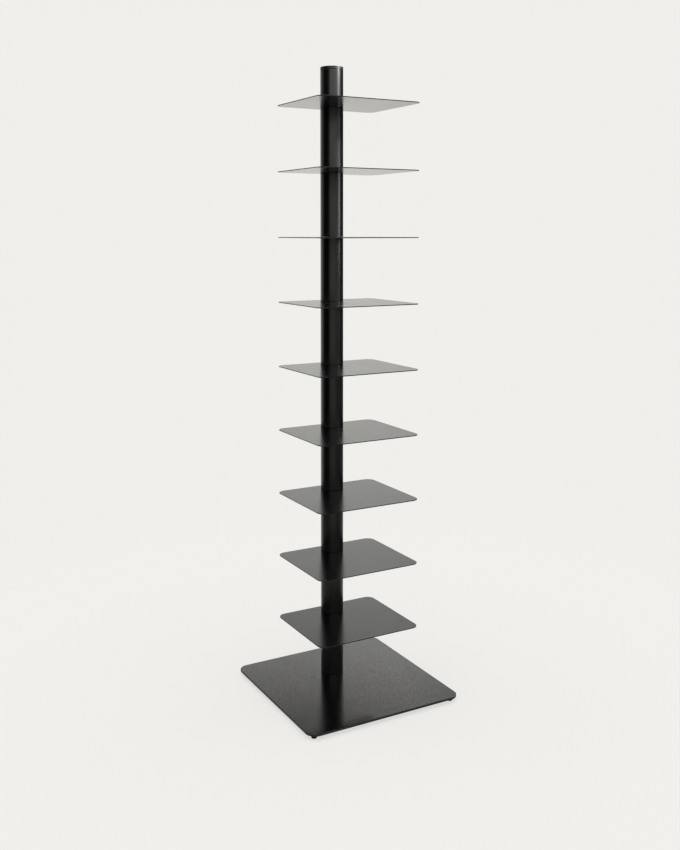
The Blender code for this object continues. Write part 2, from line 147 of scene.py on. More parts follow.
class BookcaseSizes(bpy.types.PropertyGroup):
    """Sizes of the modelled pieces that the frame's boxes don't give."""

    shelf_corner: length("Shelf corner", "Radius of a shelf's corners in plan", 0.019)
    shelf_rim: length("Shelf rim", "Radius that softens a shelf's rims", 0.00025)
    base_corner: length("Base corner", "Radius of the base plate's corners in plan", 0.025)
    base_rim: length("Base rim", "Radius that softens the base plate's rims", 0.0006)
    tube_wall: length("Tube wall", "Wall of the column tube", 0.0015)
    tube_rim: length("Tube rim", "Radius left on a tube end by deburring and coating", 0.0004)
    top_rim: length("Top rim", "Radius of the column's top rim, under the cap", 0.0011)
    end_plate: length("End plate", "Thickness of the plate welded into a tube end", 0.004)
    rod_hole: length("Rod hole", "Radius of the hole for the tie rod", 0.0053)
    pin_hole: length("Pin hole", "Radius of the hole for a locating pin", 0.0023)
    pin_offset: length("Pin offset", "Distance of the pins behind the column's axis", 0.017)
    cap_fillet: length("Cap fillet", "Radius round the top of the end cap", 0.0007)
    cap_rim: length("Cap rim", "Height of the cap's visible rim", 0.007)
    cap_wall: length("Cap wall", "Wall of the cap's hidden plug", 0.002)
    pad_fillet: length("Pad fillet", "Radius round the rims of a foot pad", 0.0006)
    pad_pocket: length("Pad pocket", "Radius of the pocket that hides the screw's head", 0.0048)
    pad_pocket_depth: length("Pad pocket depth", "Depth of that pocket", 0.0025)
    pad_hole: length("Pad hole", "Radius of the hole for the foot screw", 0.0033)
    screw_radius: length("Foot screw", "Outer radius of the foot screw's thread", 0.003)
    screw_head: length("Foot screw head", "Radius of the foot screw's head", 0.0045)
    screw_head_height: length("Foot screw head height", "Height of that head", 0.0016)
    screw_socket: length("Foot screw socket", "Width of the hexagon socket across its flats", 0.003)
    screw_socket_depth: length("Foot screw socket depth", "Depth of the hexagon socket", 0.0025)
    thread_pitch: length("Thread pitch", "Rise of the foot screw's thread in one turn", 0.001)
    thread_depth: length("Thread depth", "Height of the foot screw's thread", 0.00045)
    nut_chamfer: length("Nut chamfer", "Height of the chamfer on a nut's corners", 0.0012)
    weld_nut_chamfer: length("Weld nut chamfer", "Height of the chamfer on a weld nut's corners", 0.0008)
    support_band: length("Support band", "Width of the band of faces beside a plate's rim", 0.002)
    corner_steps: count("Corner steps", "Faces round one plate corner", 16, min=2)
    rim_steps: count("Rim steps", "Faces across a softened rim", 4, min=1)
    tube_sides: count("Tube sides", "Faces round the column", 128, min=12)
    small_sides: count("Small sides", "Faces round small turned pieces", 48, min=12)


class BookcaseFinish(bpy.types.PropertyGroup):
    """Colours and surface values of the finishes."""

    coat_colour: colour("Coat colour", "Coat of the shelves, column and base", (0.0012, 0.0012, 0.0012))
    coat_worn: colour("Worn coat colour", "Powder coat where edges have been rubbed", (0.003, 0.003, 0.003))
    base_roughness: share("Base roughness", "Mean roughness of the coat on the base plate", 0.18)
    shelf_roughness: share("Shelf roughness", "Mean roughness of the coat on the shelves", 0.23)
    tube_roughness: share("Tube roughness", "Mean roughness of the coat on the column", 0.3)
    sheet_tilt: share("Sheet tilt", "Tilt of the grains in the coat of the shelves and the base", 0.08)
    tube_tilt: share("Tube tilt", "Tilt of the grains in the coat of the column", 0.012)
    coat_relief: length("Coat relief", "Height of the orange peel in the coat", 0.00003)
    coat_index: amount("Coat index", "Index of refraction of the coat", 1.45, min=1.0)
    base_flecks: share("Base flecks", "Weight of the glossier flecks in the base plate's coat", 0.5)
    shelf_flecks: share("Shelf flecks", "Weight of the glossier flecks in the shelves' coat", 0.24)
    tube_flecks: share("Tube flecks", "Weight of the glossier flecks in the column's coat", 0.25)
    grain_size: length("Grain size", "Width of one swell in the powder coat's fine grain", 0.002)
    fleck_size: length("Fleck size", "Width of the glossier flecks in the coat", 0.002)
    peel_size: length("Peel size", "Width of one swell in its wider orange peel", 0.006)
    nylon_colour: colour("Nylon colour", "Black nylon of the cap and the pads", (0.006, 0.006, 0.006))
    nylon_roughness: share("Nylon roughness", "Mean roughness of the nylon", 0.42)
    zinc_colour: colour("Zinc colour", "Zinc plating of nuts, washers and screws", (0.58, 0.59, 0.61))
    steel_colour: colour("Steel colour", "Bare steel of the locating pins", (0.53, 0.53, 0.52))


class BookcaseStage(bpy.types.PropertyGroup):
    """The studio: paper, light tent, lamps and camera."""

    paper: colour("Paper", "Colour of the floor and the backdrop", (0.8714, 0.8631, 0.8309))
    floor_radius: length("Floor radius", "Radius of the round floor", 1.5)
    floor_fade: length("Floor fade", "Width of the floor's border that fades into the backdrop", 0.4)
    # Painted shade: how much of the floor's brightness is left towards the camera, in the object's
    # reflections only.
    floor_front_shade: share("Floor falloff", "Share of the floor's brightness left towards the camera", 0.48)
    shadow_fill: share("Shadow fill", "Share of the floor's own glow, which lightens the shadow", 0.76)
    strip_distance: length("Strip distance", "Distance of the narrow side lamps from the column", 1.6)
    box_distance: length("Box distance", "Distance of the wide lamps from the column", 4.0)
    high_width: length("High strip width", "Width of the high lamp on the right", 0.28)
    high_strip: lamp_edges("High strip", "Heights of its two edges", (1.95, 2.35))
    high_power: lamp_power("High strip power", "Its power", 70.0)
    low_width: length("Low strip width", "Width of the low lamp on the right", 0.5)
    low_strip: lamp_edges("Low strip", "Heights of its two edges", (1.14, 1.28))
    low_power: lamp_power("Low strip power", "Its power", 2.3)
    front_width: length("Front box width", "Width of the wide lamp in front, for the column", 5.8)
    front_box: lamp_edges("Front box", "Heights of its two edges", (2.0, 3.8))
    front_power: lamp_power("Front box power", "Its power", 51.0)
    fill_width: length("Fill box width", "Width of the wide lamp on the left, for the plates", 5.6)
    fill_box: lamp_edges("Fill box", "Heights of its two edges", (1.0, 3.0))
    fill_power: lamp_power("Fill box power", "Its power", 10.0)
    back_rise: amount("Back rise", "Light added high behind the object", 0.33)
    overhead_level: amount("Overhead level", "Light added overhead", 2.12)
    lens: amount("Lens", "Focal length in millimetres", 42.188)
    camera_place: position("Camera place", "Place of the camera", (-1.1606, -2.0543, 1.1095))
    camera_tilt: rotation("Camera tilt", "Angle that the camera looks down", math.radians(4.510))
    camera_turn: rotation("Camera turn", "Heading of the camera to the left of +Y", math.radians(-29.143))
    frame_rise: move("Frame rise", "Vertical shift of the frame", -0.1347)


# Modelling by hand


def mode(kind):
    bpy.ops.object.mode_set(mode=kind)


def deselect():
    if bpy.context.mode != "OBJECT":
        mode("OBJECT")
    bpy.ops.object.select_all(action="DESELECT")


def take(piece):
    """Makes the piece the only selected and active object."""
    deselect()
    piece.select_set(True)
    bpy.context.view_layer.objects.active = piece


def apply_place():
    """Puts the active object's place, turn and scale into its mesh."""
    bpy.ops.object.transform_apply(location=True, rotation=True, scale=True)


def added(name):
    """The primitive that was just added, under its own name and with its place in its mesh."""
    piece = bpy.context.active_object
    piece.name = piece.data.name = name
    apply_place()
    return piece


def pick(kind, wanted):
    """In edit mode, selects the faces or edges that pass the test, and nothing else."""
    bpy.ops.mesh.select_mode(type=kind)
    bpy.ops.mesh.select_all(action="DESELECT")
    mesh = bpy.context.edit_object.data
    shape = bmesh.from_edit_mesh(mesh)
    shape.normal_update()
    for element in shape.faces if kind == "FACE" else shape.edges:
        element.select_set(wanted(element))
    shape.select_flush_mode()
    bmesh.update_edit_mesh(mesh)


def is_upright(edge):
    ends = [corner.co for corner in edge.verts]
    return abs(ends[0].z - ends[1].z) > (ends[0].xy - ends[1].xy).length


def is_rim(edge):
    """True where a level face meets an upright one."""
    tilts = sorted(abs(face.normal.z) for face in edge.link_faces)
    return len(tilts) == 2 and tilts[0] < NEARLY_UPRIGHT and tilts[1] > NEARLY_LEVEL


def is_level(face):
    return abs(face.normal.z) > LEVEL


def carve(piece, tool, operation="DIFFERENCE"):
    """Cuts the tool from the piece, or keeps only what both share, and removes the tool."""
    take(piece)
    bpy.ops.object.modifier_add(type="BOOLEAN")
    cut = piece.modifiers[-1]
    cut.operation = operation
    cut.solver = "EXACT"
    cut.object = tool
    bpy.ops.object.modifier_apply(modifier=cut.name)
    bpy.data.objects.remove(tool, do_unlink=True)


def bar(name, centre, radius, bottom, top, sides):
    """An upright bar, round or with a few flats."""
    deselect()
    place = (centre[0], centre[1], (bottom + top) / 2)
    bpy.ops.mesh.primitive_cylinder_add(vertices=sides, radius=radius, depth=top - bottom, location=place)
    return added(name)


def drill(piece, centre, radius, bottom, top, sides):
    """A round hole in the piece from bottom to top."""
    carve(piece, bar("drill", centre, radius, bottom, top, sides))


def clamp_holes(piece, low, rod_top, pin_top, sizes):
    """The hole for the tie rod on the column's axis and the one for a locating pin behind it."""
    axis = column_axis()
    pin = (axis.x, axis.y + sizes.pin_offset)
    drill(piece, axis, sizes.rod_hole, low.z - OVERRUN, rod_top + OVERRUN, sizes.small_sides)
    drill(piece, pin, sizes.pin_hole, low.z - OVERRUN, pin_top + OVERRUN, sizes.small_sides)


def round_off(radius, steps):
    bpy.ops.mesh.bevel(offset=radius, segments=steps, profile=0.5, affect="EDGES", clamp_overlap=True)


def plate(name, low, high, corner, rim, sizes):
    """A sheet with round corners and softened rims between two corner points."""
    deselect()
    bpy.ops.mesh.primitive_cube_add(size=1, location=(low + high) / 2, scale=high - low)
    sheet = added(name)
    mode("EDIT")
    pick("EDGE", is_upright)
    round_off(corner, sizes.corner_steps)
    pick("EDGE", is_rim)
    round_off(rim, sizes.rim_steps)
    pick("FACE", is_level)
    bpy.ops.mesh.inset(thickness=sizes.support_band, depth=0)
    mode("OBJECT")
    return sheet


def turned(name, centre, profile, sides):
    """A piece drawn as a line of (radius, height) points beside a vertical axis and spun round it."""
    deselect()
    bpy.ops.mesh.primitive_plane_add(size=0.001)
    piece = added(name)
    start = Vector((centre[0] + profile[0][0], centre[1], profile[0][1]))
    mode("EDIT")
    bpy.ops.mesh.select_mode(type="VERT")
    bpy.ops.mesh.select_all(action="SELECT")
    bpy.ops.mesh.merge(type="CENTER")
    bpy.ops.transform.translate(value=start)
    for here, there in zip(profile, profile[1:]):
        step = (there[0] - here[0], 0, there[1] - here[1])
        bpy.ops.mesh.extrude_region_move(TRANSFORM_OT_translate={"value": step})
    bpy.ops.mesh.select_all(action="SELECT")
    bpy.ops.mesh.spin(steps=sides, angle=2 * math.pi, center=(centre[0], centre[1], 0), axis=(0, 0, 1))
    bpy.ops.mesh.select_all(action="SELECT")
    bpy.ops.mesh.remove_doubles(threshold=MERGE)
    bpy.ops.mesh.dissolve_degenerate(threshold=MERGE)
    bpy.ops.mesh.normals_make_consistent(inside=False)
    mode("OBJECT")
    return piece


def fillet(radius, height, size, rising, steps=5):
    """Profile points of an outer quarter round that ends a turned piece at this height."""
    points = []
    for step in range(steps + 1):
        angle = math.pi / 2 * step / steps
        swell = (radius - size + size * math.cos(angle), size * math.sin(angle) - size)
        points.append((swell[0], height + swell[1] if rising else height - swell[1]))
    return points if rising else points[::-1]


def hexagon(name, centre, flats, bottom, top):
    """A hexagonal bar with two flats square to the X axis."""
    return bar(name, centre, flats / 2 / math.cos(math.pi / 6), bottom, top, 6)


def nut(name, low, high, bore, chamfer, sides):
    """A hexagon nut in its box: a bar kept within a cone at each end, then bored."""
    centre = (low + high) / 2
    flats = high.x - low.x
    corner = (high.y - low.y) / 2
    piece = hexagon(name, centre, flats, low.z, high.z)
    outer = corner + OVERRUN
    slope = chamfer / (corner - flats / 2)
    reach = slope * (outer - flats / 2)
    cones = [
        (0, high.z),
        (flats / 2, high.z),
        (outer, high.z - reach),
        (outer, low.z + reach),
        (flats / 2, low.z),
        (0, low.z),
    ]
    carve(piece, turned("cones", centre, cones, sides), "INTERSECT")
    drill(piece, centre, bore, low.z - OVERRUN, high.z + OVERRUN, sides)
    return piece


def copied(piece, name, shift):
    """A copy with its own mesh, moved by the shift."""
    take(piece)
    bpy.ops.object.duplicate(linked=False)
    twin = bpy.context.active_object
    twin.name = twin.data.name = name
    bpy.ops.transform.translate(value=shift)
    apply_place()
    return twin


def at_feet(first, name):
    """The piece at the first foot and its copies at the others, each with its foot's number."""
    pieces = [first]
    for number in FOOT_NUMBERS[1:]:
        pieces.append(copied(first, f"{name}_{number}", foot_axis(number) - foot_axis(1)))
    return zip(FOOT_NUMBERS, pieces)


def finished(piece, material, slot, body, *nodes):
    """Shades the piece, gives it its finish and puts it on its body in place of the CAD nodes."""
    take(piece)
    bpy.ops.object.shade_smooth_by_angle(angle=SMOOTH_ANGLE)
    bpy.ops.object.modifier_add(type="WEIGHTED_NORMAL")
    even = piece.modifiers[-1]
    even.keep_sharp = True
    even.weight = FACE_WEIGHT
    bpy.ops.object.modifier_apply(modifier=even.name)
    piece.data.materials.clear()
    piece.data.materials.append(material)
    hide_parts(*nodes)
    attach(piece, body)
    return piece


def refinish(node, material):
    """Gives a CAD node that stays in view its procedural finish."""
    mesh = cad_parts[node].data
    mesh.materials.clear()
    mesh.materials.append(material)


# Shader maths


class Wire:
    """A value socket that can be used in Python arithmetic."""

    def __init__(self, graph, socket):
        self.graph = graph
        self.socket = socket

    def maths(self, operation, *others):
        return self.graph.maths(operation, self, *others)

    def __add__(self, other):
        return self.maths("ADD", other)

    __radd__ = __add__

    def __sub__(self, other):
        return self.maths("SUBTRACT", other)

    def __rsub__(self, other):
        return self.graph.maths("SUBTRACT", other, self)

    def __mul__(self, other):
        return self.maths("MULTIPLY", other)

    __rmul__ = __mul__

    def __truediv__(self, other):
        return self.maths("DIVIDE", other)

    def __rtruediv__(self, other):
        return self.graph.maths("DIVIDE", other, self)

    def __pow__(self, other):
        return self.maths("POWER", other)

    def __mod__(self, other):
        return self.maths("FLOORED_MODULO", other)

    def __abs__(self):
        return self.maths("ABSOLUTE")

    def root(self):
        return self.maths("SQRT")

    def swing(self, width):
        """A pattern from 0 to 1 as a swing of this width about 0."""
        return (self - 0.5) * width

    def least(self, other):
        return self.maths("MINIMUM", other)

    def most(self, other):
        return self.maths("MAXIMUM", other)


class Graph:
    """The node tree of a material or of the world."""

    def __init__(self, tree):
        self.tree = tree
        tree.nodes.clear()

    def node(self, kind, settings=None, inputs=None):
        """A node with its settings set first, then the values or links of its sockets."""
        made = self.tree.nodes.new(kind)
        for key, value in (settings or {}).items():
            setattr(made, key, value)
        for key, value in (inputs or {}).items():
            if isinstance(value, Wire):
                value = value.socket
            if isinstance(value, bpy.types.NodeSocket):
                self.tree.links.new(value, made.inputs[key])
            else:
                made.inputs[key].default_value = value
        return made

    def maths(self, operation, *values):
        made = self.node("ShaderNodeMath", {"operation": operation}, dict(enumerate(values)))
        return Wire(self, made.outputs[0])

    def split(self, vector):
        """The three parts of a vector."""
        made = self.node("ShaderNodeSeparateXYZ", inputs={0: vector})
        return [Wire(self, socket) for socket in made.outputs]

    def noise(self, where, size, detail=2.0, gain=0.5):
        """Noise from 0 to 1 whose swells are about this wide, in metres."""
        inputs = {"Vector": where, "Scale": 1 / size, "Detail": detail, "Roughness": gain}
        return Wire(self, self.node("ShaderNodeTexNoise", inputs=inputs).outputs["Fac"])

    def smooth(self, value, low, high):
        """Rises softly from 0 at low to 1 at high."""
        inputs = {"Value": value, "From Min": low, "From Max": high}
        made = self.node("ShaderNodeMapRange", {"interpolation_type": "SMOOTHSTEP"}, inputs)
        return Wire(self, made.outputs["Result"])

    def blend(self, factor, first, second):
        """The first colour where the factor is 0 and the second where it is 1."""
        made = self.node("ShaderNodeMix", {"data_type": "RGBA"}, {0: factor, 6: first, 7: second})
        return made.outputs[2]

    def bump(self, height, distance, normal=None):
        inputs = {"Height": height, "Distance": distance}
        if normal is not None:
            inputs["Normal"] = normal
        return self.node("ShaderNodeBump", inputs=inputs).outputs["Normal"]

    def ruffled(self, where, size, tilt):
        """The surface's normal, leaning every way by up to about half the tilt, in grains of this size."""
        grains = self.node("ShaderNodeTexNoise", inputs={"Vector": where, "Scale": 1 / size, "Detail": 2.0})
        centred = self.vectors("SUBTRACT", grains.outputs["Color"], (0.5,) * 3)
        lean = self.vectors("MULTIPLY", centred, (tilt,) * 3)
        flat = self.node("ShaderNodeNewGeometry").outputs["Normal"]
        return self.vectors("NORMALIZE", self.vectors("ADD", flat, lean))

    def vectors(self, operation, *values):
        made = self.node("ShaderNodeVectorMath", {"operation": operation}, dict(enumerate(values)))
        return made.outputs[0]

    def finish(self, shader, kind="ShaderNodeOutputMaterial"):
        self.node(kind, inputs={"Surface": shader.outputs[0]})

    def principled(self, inputs):
        """Ends the material in the general surface shader."""
        self.finish(self.node("ShaderNodeBsdfPrincipled", inputs=inputs))

    def mixed(self, factor, first, second):
        """One shader where the factor is 0 and the other where it is 1."""
        inputs = {0: factor, 1: first.outputs[0], 2: second.outputs[0]}
        return self.node("ShaderNodeMixShader", inputs=inputs)


def opaque(rgb, brightness=1.0):
    """The colour with full alpha, brighter or darker by this factor."""
    return (*(part * brightness for part in rgb), 1.0)


def new_material(name):
    """An empty material, its graph and its Object coordinates."""
    material = bpy.data.materials.new(name)
    material.use_nodes = True
    graph = Graph(material.node_tree)
    where = graph.node("ShaderNodeTexCoord").outputs["Object"]
    return material, graph, where


def plate_border(low, high, corner):
    """Distance in from the outline of a plate with round corners, in metres."""
    centre = (low + high) / 2
    half = (high - low) / 2

    def border(graph, where):
        x, y, _ = graph.split(where)
        over_x = abs(x - centre.x) - (half.x - corner)
        over_y = abs(y - centre.y) - (half.y - corner)
        outside = (over_x.most(0) ** 2 + over_y.most(0) ** 2).root()
        return corner - outside - over_x.most(over_y).least(0)

    return border


def tube_border(start, pitch, long):
    """Distance along the column to the nearest end of a section, in metres."""

    def border(graph, where):
        _, _, z = graph.split(where)
        along = (z - start) % pitch
        return along.least(abs(long - along))

    return border


def powder_coat(name, finish, border_of, gloss, tilt, flecks):
    """Satin powder coat: leaning grains and glossier flecks on orange peel, uneven gloss and rubbed rims."""
    material, graph, where = new_material(name)
    grain = graph.noise(where, finish.grain_size, detail=3.0)
    peel = graph.noise(where, finish.peel_size, detail=1.0)
    fleck = graph.smooth(graph.noise(where, finish.fleck_size, detail=1.0), *PATCHY)
    cloud = graph.noise(where, COAT_CLOUD, detail=3.0)
    handled = graph.smooth(graph.noise(where, HANDLING, detail=4.0, gain=0.6), *HANDLED)
    rubbed = graph.smooth(graph.noise(where, RUBBING, detail=4.0, gain=0.6), *PATCHY)
    rubbed = (1 - graph.smooth(border_of(graph, where), *RUBBED_BORDER)) * rubbed
    tone = graph.blend(cloud * 0.5, opaque(finish.coat_colour), opaque(finish.coat_colour, brightness=1.5))
    inputs = {
        "Base Color": graph.blend(rubbed, tone, opaque(finish.coat_worn)),
        "Roughness": gloss + grain.swing(0.03) + cloud.swing(0.05) + handled * 0.01,
        "IOR": finish.coat_index,
        "Coat Weight": (fleck + 0.5) * flecks,
        "Coat Roughness": gloss,
        "Normal": graph.bump(peel, finish.coat_relief, graph.ruffled(where, finish.grain_size, tilt)),
    }
    graph.principled(inputs)
    return material


def nylon(name, finish):
    """Moulded black nylon: a fine spark-eroded texture with slightly clouded gloss."""
    material, graph, where = new_material(name)
    texture = graph.noise(where, NYLON_TEXTURE)
    cloud = graph.noise(where, NYLON_CLOUD, detail=3.0)
    lighter = opaque(finish.nylon_colour, brightness=1.6)
    inputs = {
        "Base Color": graph.blend(cloud, opaque(finish.nylon_colour), lighter),
        "Roughness": finish.nylon_roughness + cloud.swing(0.08) + texture.swing(0.06),
        "Normal": graph.bump(texture, NYLON_RELIEF),
    }
    graph.principled(inputs)
    return material


def zinc(name, finish, thread=None):
    """Bright zinc plating with passivation tints, fine pits and, where wanted, the relief of a thread."""
    material, graph, where = new_material(name)
    cloud = graph.noise(where, ZINC_CLOUD, detail=3.0)
    pits = graph.noise(where, ZINC_PITS)
    blue = [part * tint for part, tint in zip(finish.zinc_colour, ZINC_BLUE)]
    relief = pits * PIT_SHARE
    if thread:
        relief = relief + thread(graph, where)
    inputs = {
        "Base Color": graph.blend(graph.smooth(cloud, *PATCHY), opaque(finish.zinc_colour), opaque(blue)),
        "Metallic": 1.0,
        "Roughness": ZINC_ROUGHNESS + cloud.swing(0.14) + pits.swing(0.06),
        "Normal": graph.bump(relief, ZINC_RELIEF),
    }
    graph.principled(inputs)
    return material


def ground_steel(name, finish):
    """Ground dowel steel, with fine rings left round the pin by the wheel."""
    material, graph, where = new_material(name)
    rings = graph.noise(graph.vectors("MULTIPLY", where, RING_STRETCH), WHEEL_RINGS)
    cloud = graph.noise(where, STEEL_CLOUD)
    darker = opaque(finish.steel_colour, brightness=0.82)
    inputs = {
        "Base Color": graph.blend(cloud, opaque(finish.steel_colour), darker),
        "Metallic": 1.0,
        "Roughness": STEEL_ROUGHNESS + rings.swing(0.1) + cloud.swing(0.06),
        "Normal": graph.bump(rings, RING_RELIEF),
    }
    graph.principled(inputs)
    return material


def rod_thread(pitch, axis_y):
    """Relief of a right-hand thread round the column's axis."""

    def relief(graph, where):
        x, y, z = graph.split(where)
        turn = (y - axis_y).maths("ARCTAN2", x) / (2 * math.pi)
        along = (z / pitch - turn) % 1.0
        return abs(along * 2 - 1)

    return relief


class MaterialStore:
    """Each finish of the bookcase, made once when it is first asked for."""

    made = {}

    @classmethod
    def get(cls, name, maker, *values):
        if name not in cls.made:
            cls.made[name] = maker(name, *values)
        return cls.made[name]


def lit_pieces(name):
    """The pieces that a lamp lights, so that what is meant for the column stays off the plates."""
    return bpy.data.collections.get(name) or bpy.data.collections.new(name)


def column_axis():
    """The column's axis in plan."""
    low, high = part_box(SECTION_NODES[0])
    return (low + high) / 2


def foot_axis(number):
    low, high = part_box(f"foot_pad_{number}")
    return (low + high) / 2


def sizes_and_finish(context):
    return context.scene.bookcase_sizes, context.scene.bookcase_finish


# Operators


class BOOKCASE_OT_base_plate(bpy.types.Operator):
    """Model the square base plate with its round corners, soft rims and holes"""

    bl_idname = "bookcase.base_plate"
    bl_label = "Base plate"

    def execute(self, context):
        sizes, finish = sizes_and_finish(context)
        low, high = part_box("base_plate")
        piece = plate("coated_base", low, high, sizes.base_corner, sizes.base_rim, sizes)
        clamp_holes(piece, low, high.z, high.z, sizes)
        screw_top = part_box("foot_screw_1")[1].z
        hole_top = screw_top + (high.z - screw_top) * FOOT_HOLE_SPARE
        for number in FOOT_NUMBERS:
            drill(piece, foot_axis(number), sizes.pad_hole, low.z - OVERRUN, hole_top, sizes.small_sides)
        border = plate_border(low, high, sizes.base_corner)
        look = (finish.base_roughness, finish.sheet_tilt, finish.base_flecks)
        coat = MaterialStore.get("base_powder_coat", powder_coat, finish, border, *look)
        finished(piece, coat, "black_powder_coat", "bookcase", "base_plate")
        lit_pieces("plate_pieces").objects.link(piece)
        return {"FINISHED"}


class BOOKCASE_OT_shelves(bpy.types.Operator):
    """Model one thin shelf and copy it up the column"""

    bl_idname = "bookcase.shelves"
    bl_label = "Shelves"

    def execute(self, context):
        sizes, finish = sizes_and_finish(context)
        low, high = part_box(SHELF_NODES[0])
        first = plate("shelf_sheet_1", low, high, sizes.shelf_corner, sizes.shelf_rim, sizes)
        clamp_holes(first, low, high.z, high.z, sizes)
        border = plate_border(low, high, sizes.shelf_corner)
        look = (finish.shelf_roughness, finish.sheet_tilt, finish.shelf_flecks)
        coat = MaterialStore.get("shelf_powder_coat", powder_coat, finish, border, *look)
        sheets = [first]
        for number, node in enumerate(SHELF_NODES[1:], start=2):
            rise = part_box(node)[0] - low
            sheets.append(copied(first, f"shelf_sheet_{number}", rise))
        for sheet, node in zip(sheets, SHELF_NODES):
            finished(sheet, coat, "black_powder_coat", "bookcase", node)
            lit_pieces("plate_pieces").objects.link(sheet)
        return {"FINISHED"}


class BOOKCASE_OT_column(bpy.types.Operator):
    """Model one tube section with its end plates, copy it up the column, and model the short top section"""

    bl_idname = "bookcase.column"
    bl_label = "Column sections"

    def tube(self, name, low, high, sizes, top_rim):
        """A solid bar, before it is bored, whose top and bottom rims are softened by their own radii."""
        piece = bar(name, column_axis(), (high.x - low.x) / 2, low.z, high.z, sizes.tube_sides)
        mode("EDIT")
        middle = (low.z + high.z) / 2
        pick("EDGE", lambda edge: is_rim(edge) and edge.verts[0].co.z > middle)
        round_off(top_rim, TUBE_RIM_STEPS)
        pick("EDGE", lambda edge: is_rim(edge) and edge.verts[0].co.z < middle)
        round_off(sizes.tube_rim, TUBE_RIM_STEPS)
        mode("OBJECT")
        return piece

    def execute(self, context):
        sizes, finish = sizes_and_finish(context)
        axis = column_axis()
        low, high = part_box(SECTION_NODES[0])
        bore = (high.x - low.x) / 2 - sizes.tube_wall
        first = self.tube("column_tube_01", low, high, sizes, sizes.tube_rim)
        drill(first, axis, bore, low.z + sizes.end_plate, high.z - sizes.end_plate, sizes.small_sides)
        clamp_holes(first, low, high.z, high.z, sizes)
        tubes = [first]
        for number, node in enumerate(SECTION_NODES[1:-1], start=2):
            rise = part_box(node)[0] - low
            tubes.append(copied(first, f"column_tube_{number:02d}", rise))
        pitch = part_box(SECTION_NODES[1])[0].z - low.z

        top_low, top_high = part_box(SECTION_NODES[-1])
        plate_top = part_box("top_washer")[0].z
        foot_plate_top = top_low.z + sizes.end_plate
        top = self.tube("column_tube_10", top_low, top_high, sizes, sizes.top_rim)
        drill(top, axis, bore, foot_plate_top, plate_top - sizes.end_plate, sizes.small_sides)
        drill(top, axis, bore, plate_top, top_high.z + OVERRUN, sizes.tube_sides)
        clamp_holes(top, top_low, plate_top, foot_plate_top, sizes)
        tubes.append(top)
        border = tube_border(low.z, pitch, high.z - low.z)
        look = (finish.tube_roughness, finish.tube_tilt, finish.tube_flecks)
        coat = MaterialStore.get("column_powder_coat", powder_coat, finish, border, *look)
        for piece, node in zip(tubes, SECTION_NODES):
            finished(piece, coat, "black_powder_coat", "bookcase", node)
            lit_pieces("column_pieces").objects.link(piece)
        return {"FINISHED"}


class BOOKCASE_OT_end_cap(bpy.types.Operator):
    """Model the push-in end cap with its rim and hollow plug"""

    bl_idname = "bookcase.end_cap"
    bl_label = "End cap"

    def execute(self, context):
        sizes, finish = sizes_and_finish(context)
        low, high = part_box("end_cap")
        radius = (high.x - low.x) / 2
        seat = high.z - sizes.cap_rim
        plug = radius - sizes.tube_wall - PLUG_PLAY
        profile = [(0, high.z)]
        profile += fillet(radius, high.z, sizes.cap_fillet, True)[::-1]
        profile += [
            (radius, seat + sizes.tube_rim),
            (radius - sizes.tube_rim, seat),
            (plug, seat),
            (plug, low.z + PLUG_LEAD),
            (plug - PLUG_LEAD, low.z),
            (plug - sizes.cap_wall, low.z),
            (plug - sizes.cap_wall, seat),
            (0, seat),
        ]
        piece = turned("cap_moulding", column_axis(), profile, sizes.tube_sides)
        moulded = MaterialStore.get("moulded_nylon", nylon, finish)
        finished(piece, moulded, "black_nylon", "bookcase", "end_cap")
        lit_pieces("column_pieces").objects.link(piece)
        return {"FINISHED"}


class BOOKCASE_OT_foot_pads(bpy.types.Operator):
    """Model one nylon foot pad and copy it to the other corners"""

    bl_idname = "bookcase.foot_pads"
    bl_label = "Foot pads"

    def execute(self, context):
        sizes, finish = sizes_and_finish(context)
        low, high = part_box("foot_pad_1")
        radius = (high.x - low.x) / 2
        profile = fillet(radius, high.z, sizes.pad_fillet, True)
        profile += [
            (sizes.pad_hole, high.z),
            (sizes.pad_hole, low.z + sizes.pad_pocket_depth),
            (sizes.pad_pocket, low.z + sizes.pad_pocket_depth),
            (sizes.pad_pocket, low.z),
        ]
        profile += fillet(radius, low.z, sizes.pad_fillet, False)
        profile.append(profile[0])
        first = turned("pad_moulding_1", foot_axis(1), profile, sizes.small_sides)
        moulded = MaterialStore.get("moulded_nylon", nylon, finish)
        for number, pad in at_feet(first, "pad_moulding"):
            finished(pad, moulded, "black_nylon", f"foot_pad_{number}", f"foot_pad_{number}")
        return {"FINISHED"}


